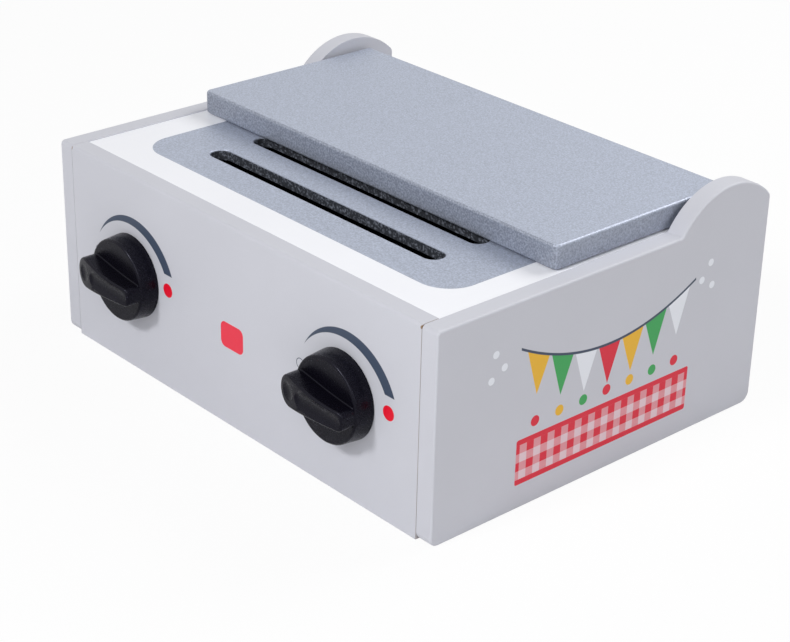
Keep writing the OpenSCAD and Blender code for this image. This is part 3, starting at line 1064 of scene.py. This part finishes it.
class OVEN_OT_knobs(bpy.types.Operator):
    """Models one knob and puts a copy on each dial"""
    bl_idname = "oven.knobs"
    bl_label = "Knobs"

    def front(self, sizes, x):
        """The point at x on the grip bar's bowed front, and the way that it faces."""
        along = x - sizes.crown
        facing = Vector((along, 0, math.sqrt(sizes.bow ** 2 - along ** 2))) / sizes.bow
        middle = Vector((sizes.crown, 0, sizes.height - sizes.bow))
        return middle + facing * sizes.bow, facing

    def bow_front(self, bar, sizes):
        """Slices the bar's flat front across and lowers it to the bow, column by column."""
        low, slices = sizes.height / 2, 24
        tip, span = -sizes.pointer_reach, sizes.pointer_reach + sizes.tail_reach

        def column(point):
            """The place of a point along the bar, in millimetres."""
            return round(point.co.x / MM, 3)

        pick(bar, "VERT", lambda v: True)
        for i in range(1, slices):
            bpy.ops.mesh.select_all(action="SELECT")
            bpy.ops.mesh.bisect(
                plane_co=(tip + span * i / slices, 0, 0), plane_no=(1, 0, 0))
        bpy.ops.object.mode_set(mode="OBJECT")
        for x in sorted({column(v) for v in bar.data.vertices if v.co.z > low}):
            pick(bar, "VERT", lambda v: v.co.z > low and column(v) == x)
            drop = self.front(sizes, x * MM)[0].z - sizes.height
            bpy.ops.transform.translate(value=(0, 0, drop))
            bpy.ops.object.mode_set(mode="OBJECT")

    def bar(self, sizes):
        """The grip bar: a round pointer end, a waist, a narrow tail and a bowed front."""
        radius, end = sizes.pointer_radius, sizes.tail_reach
        pointer = Vector((radius - sizes.pointer_reach, 0, 0))
        waist = Vector((sizes.waist, sizes.waist_half, 0))
        way = waist - pointer
        lean = math.asin(radius / way.length) - math.atan2(way.y, way.x)
        touch = radius * Vector((math.sin(lean), math.cos(lean), 0))
        below = Vector((1, -1, 1))

        pen = Pen(pointer + touch * below, (0, 0, 1))
        pen.line(waist * below)
        pen.line((end, -sizes.tail_half, 0))
        pen.line((end, sizes.tail_half, 0))
        pen.line(waist)
        pen.line(pointer + touch)
        pen.arc(pointer, math.pi + 2 * lean, step=math.radians(5))
        bar = pen.fill("bar", sizes.height)

        def upright(x):
            """A test for the bar's upright edges at x."""
            def passes(edge):
                first, last = (v.co for v in edge.verts)
                return abs(first.z - last.z) > MM and abs(first.x - x) < HAIR
            return passes

        round_edges(bar, sizes.tail_corner, upright(end), segments=8)
        round_edges(bar, sizes.waist_sweep, upright(waist.x), segments=8)
        round_edges(bar, sizes.edge, in_plane(2, sizes.height))
        self.bow_front(bar, sizes)
        for cutter in self.marks(sizes):
            combine(bar, cutter, "DIFFERENCE")
        tidy_mesh(bar)
        return bar

    def marks(self, sizes):
        """Cutters for the round dish and for the long hollow beside it."""
        depth = sizes.dish_depth
        round_by = (sizes.dish_radius ** 2 + depth ** 2) / (2 * depth)
        place, facing = self.front(sizes, sizes.dish)
        dish = ball("cutter", place + facing * (round_by - depth), round_by)
        round_by = sizes.hollow_round
        start, facing = self.front(sizes, sizes.hollow_start)
        start += facing * (round_by - sizes.hollow_deep)
        end, facing = self.front(sizes, sizes.hollow_end)
        end += facing * (round_by - sizes.hollow_shallow)
        return dish, ball("cutter", start, round_by, end - start)

    def model(self, sizes):
        """One knob at the origin, with its axis along Z."""
        knob = rod(
            "knob", (0, 0, 0), (0, 0, sizes.skirt), sizes.back_radius,
            sizes.face_radius, sides=128)
        round_edges(knob, sizes.rim, in_plane(2, sizes.skirt))
        combine(knob, self.bar(sizes), "UNION")
        face = sizes.face_radius - 1.2 * sizes.rim

        def foot(edge):
            """Whether an edge runs where the grip bar stands on the skirt's face."""
            inside = all(v.co.xy.length < face for v in edge.verts)
            return inside and in_plane(2, sizes.skirt)(edge) and sharp(edge)

        round_edges(knob, sizes.foot, foot, segments=3)
        drill(
            knob, (0, 0, -MM), (0, 0, sizes.skirt - sizes.wall),
            sizes.face_radius - sizes.wall)
        boss = rod(
            "boss", (0, 0, -sizes.boss_out), (0, 0, sizes.height - sizes.wall),
            sizes.boss_radius)
        combine(knob, boss, "UNION")
        drill(
            knob, (0, 0, -sizes.boss_out - MM),
            (0, 0, sizes.screw_depth - sizes.boss_out), sizes.screw_radius, sides=32)
        tidy_mesh(knob)
        return knob

    def execute(self, context):
        sizes, colours = context.scene.oven_knobs, context.scene.oven_colours
        knob = self.model(sizes)
        plastic = black_plastic("black_plastic", colours)
        upright = Matrix.Rotation(QUARTER, 4, "X") @ Matrix.Rotation(-sizes.turn, 4, "Z")
        for name, side in SIDES:
            place = Matrix.Translation((side * KNOB_X, FRONT_LOW.y - sizes.gap, KNOB_Z))
            copy = copied(knob, name + "_black_knob", place @ upright)
            smooth(copy)
            put_on(copy, name + "_dial", "black_plastic", plastic, name + "_knob")
        bpy.data.objects.remove(knob)
        return {"FINISHED"}


class OVEN_OT_inner_wood(bpy.types.Operator):
    """Finishes the base board, the battens and the dowels in bare wood"""
    bl_idname = "oven.inner_wood"
    bl_label = "Inner Wood"

    def execute(self, context):
        colours = context.scene.oven_colours
        coat_nodes(
            bare_wood("bare_wood_across", colours, 0), "base_board", "front_top_batten",
            "rear_top_batten", "front_panel_dowels", "back_panel_dowels")
        coat_nodes(
            bare_wood("bare_wood_deep", colours, 1), "left_top_batten",
            "right_top_batten", "left_base_batten", "right_base_batten")
        return {"FINISHED"}


class OVEN_OT_hardware(bpy.types.Operator):
    """Finishes the screws, the washers and the lid's pins in zinc plated steel"""
    bl_idname = "oven.hardware"
    bl_label = "Hardware"

    def execute(self, context):
        coat_nodes(
            zinc_steel("zinc_steel", context.scene.oven_colours), "left_pivot_pin",
            "right_pivot_pin", "left_knob_screw", "right_knob_screw",
            "left_knob_washer", "right_knob_washer", "base_screws")
        return {"FINISHED"}


SENSOR_WIDTH = 36
# The soft lamps: their places and sizes in metres, and the settings of their powers
LAMPS = {
    "key_lamp": ((-0.13, -1.9, 1.6), 0.4, "key_power"),
    "right_lamp": ((1.1, 0.1, 0.6), 0.6, "right_power"),
    "near_lamp": ((0.45, -0.65, 0.55), 0.4, "near_power"),
    "back_lamp": ((0.2, 0.8, 0.9), 0.6, "back_power"),
}
FLOOR_TONES = (0.86, 0.86, 0.87), (0.88, 0.88, 0.89)
FLOOR_CLOUDS = 0.5
# How much of the floor that the camera sees is plain white; the rest keeps the shadow
FLOOR_WHITE = 0.93
WHITE = (1, 1, 1, 1)


class OVEN_OT_stage(bpy.types.Operator):
    """Sets up the camera, the floor and the studio light"""
    bl_idname = "oven.stage"
    bl_label = "Stage"

    def add_camera(self, context, settings):
        """The camera, at the photograph's place and angle."""
        start_fresh()
        bpy.ops.object.camera_add(location=settings.camera_place)
        camera = context.active_object
        turn, rise = settings.azimuth, settings.elevation
        back = Vector((
            math.sin(turn) * math.cos(rise), -math.cos(turn) * math.cos(rise),
            math.sin(rise)))
        camera.rotation_mode = "QUATERNION"
        camera.rotation_quaternion = (
            (-back).to_track_quat("-Z", "Y") @ Quaternion((0, 0, 1), settings.roll))
        camera.data.lens = settings.lens
        camera.data.sensor_width = SENSOR_WIDTH
        context.scene.camera = camera

    def add_lamp(self, name, place, size, energy):
        """A soft square lamp that faces the object."""
        start_fresh()
        bpy.ops.object.light_add(type="AREA", location=place)
        lamp = bpy.context.active_object
        lamp.name = name
        lamp.data.size = size
        lamp.data.energy = energy
        way = Vector((0, 0, SIDE_HIGH.z / 2)) - Vector(place)
        lamp.rotation_euler = way.to_track_quat("-Z", "Y").to_euler()

    def add_floor(self, settings):
        """A pale floor that keeps the object's shadow."""
        start_fresh()
        bpy.ops.mesh.primitive_plane_add(size=settings.floor_size)
        floor = settle("floor")
        finish = Finish("floor", Roughness=0.9, Specular_IOR_Level=0.1)
        finish.set(Base_Color=finish.mix(*FLOOR_TONES, finish.noise(FLOOR_CLOUDS)))
        white = finish.node("ShaderNodeEmission", {}, {"Color": WHITE, "Strength": 1.0})
        seen = Level(finish, finish.node("ShaderNodeLightPath").outputs["Is Camera Ray"])
        cover = finish.node("ShaderNodeMixShader", {}, {
            0: FLOOR_WHITE * seen, 1: finish.shader.outputs[0], 2: white.outputs[0]})
        output = finish.tree.nodes["Material Output"]
        finish.feed(output.inputs["Surface"], cover.outputs[0])
        floor.data.materials.append(finish.material)

    def add_world(self, context, settings):
        """Even light from all round, seen and mirrored as a white backdrop."""
        world = bpy.data.worlds.new("studio")
        world.use_nodes = True
        recipe = Recipe(world.node_tree)
        path = recipe.node("ShaderNodeLightPath").outputs
        shine = recipe.math(
            "MAXIMUM", path["Is Glossy Ray"], path["Is Transmission Ray"])
        seen = recipe.math("MAXIMUM", path["Is Camera Ray"], shine)
        background = recipe.tree.nodes["Background"].inputs
        recipe.feed(background["Color"], WHITE)
        recipe.feed(
            background["Strength"], settings.ambient + (1 - settings.ambient) * seen)
        context.scene.world = world

    def execute(self, context):
        settings = context.scene.oven_stage
        self.add_camera(context, settings)
        self.add_floor(settings)
        self.add_world(context, settings)
        for name, (place, size, source) in LAMPS.items():
            self.add_lamp(name, place, size, getattr(settings, source))
        context.scene.view_settings.view_transform = "Standard"
        return {"FINISHED"}


MAKERS = [
    OVEN_OT_stage, OVEN_OT_side_panels, OVEN_OT_end_panels, OVEN_OT_top_board,
    OVEN_OT_lid, OVEN_OT_knobs, OVEN_OT_inner_wood, OVEN_OT_hardware,
]


class OVEN_PT_sidebar(bpy.types.Panel):
    """Lists the sizes and the steps of the toy oven"""
    bl_idname = "OVEN_PT_sidebar"
    bl_label = "Toy Oven"
    bl_space_type = "VIEW_3D"
    bl_region_type = "UI"
    bl_category = "Toy Oven"

    def draw(self, context):
        """The steps as buttons, then the settings group by group."""
        for maker in MAKERS:
            self.layout.operator(maker.bl_idname)
        for name, group in GROUPS.items():
            box = self.layout.box()
            box.label(text=group.__doc__)
            for setting in group.__annotations__:
                box.prop(getattr(context.scene, name), setting)


def register():
    """Makes the settings, the steps and the panel known."""
    for kind in [*GROUPS.values(), *MAKERS, OVEN_PT_sidebar]:
        bpy.utils.register_class(kind)
    for name, group in GROUPS.items():
        setattr(bpy.types.Scene, name, bpy.props.PointerProperty(type=group))


def unregister():
    """Takes them away again."""
    for name in GROUPS:
        delattr(bpy.types.Scene, name)
    for kind in reversed([*GROUPS.values(), *MAKERS, OVEN_PT_sidebar]):
        bpy.utils.unregister_class(kind)


def main():
    """Runs every step in order."""
    register()
    for maker in MAKERS:
        family, step = maker.bl_idname.split(".")
        getattr(getattr(bpy.ops, family), step)()
    start_fresh()


if __name__ == "__main__":
    main()
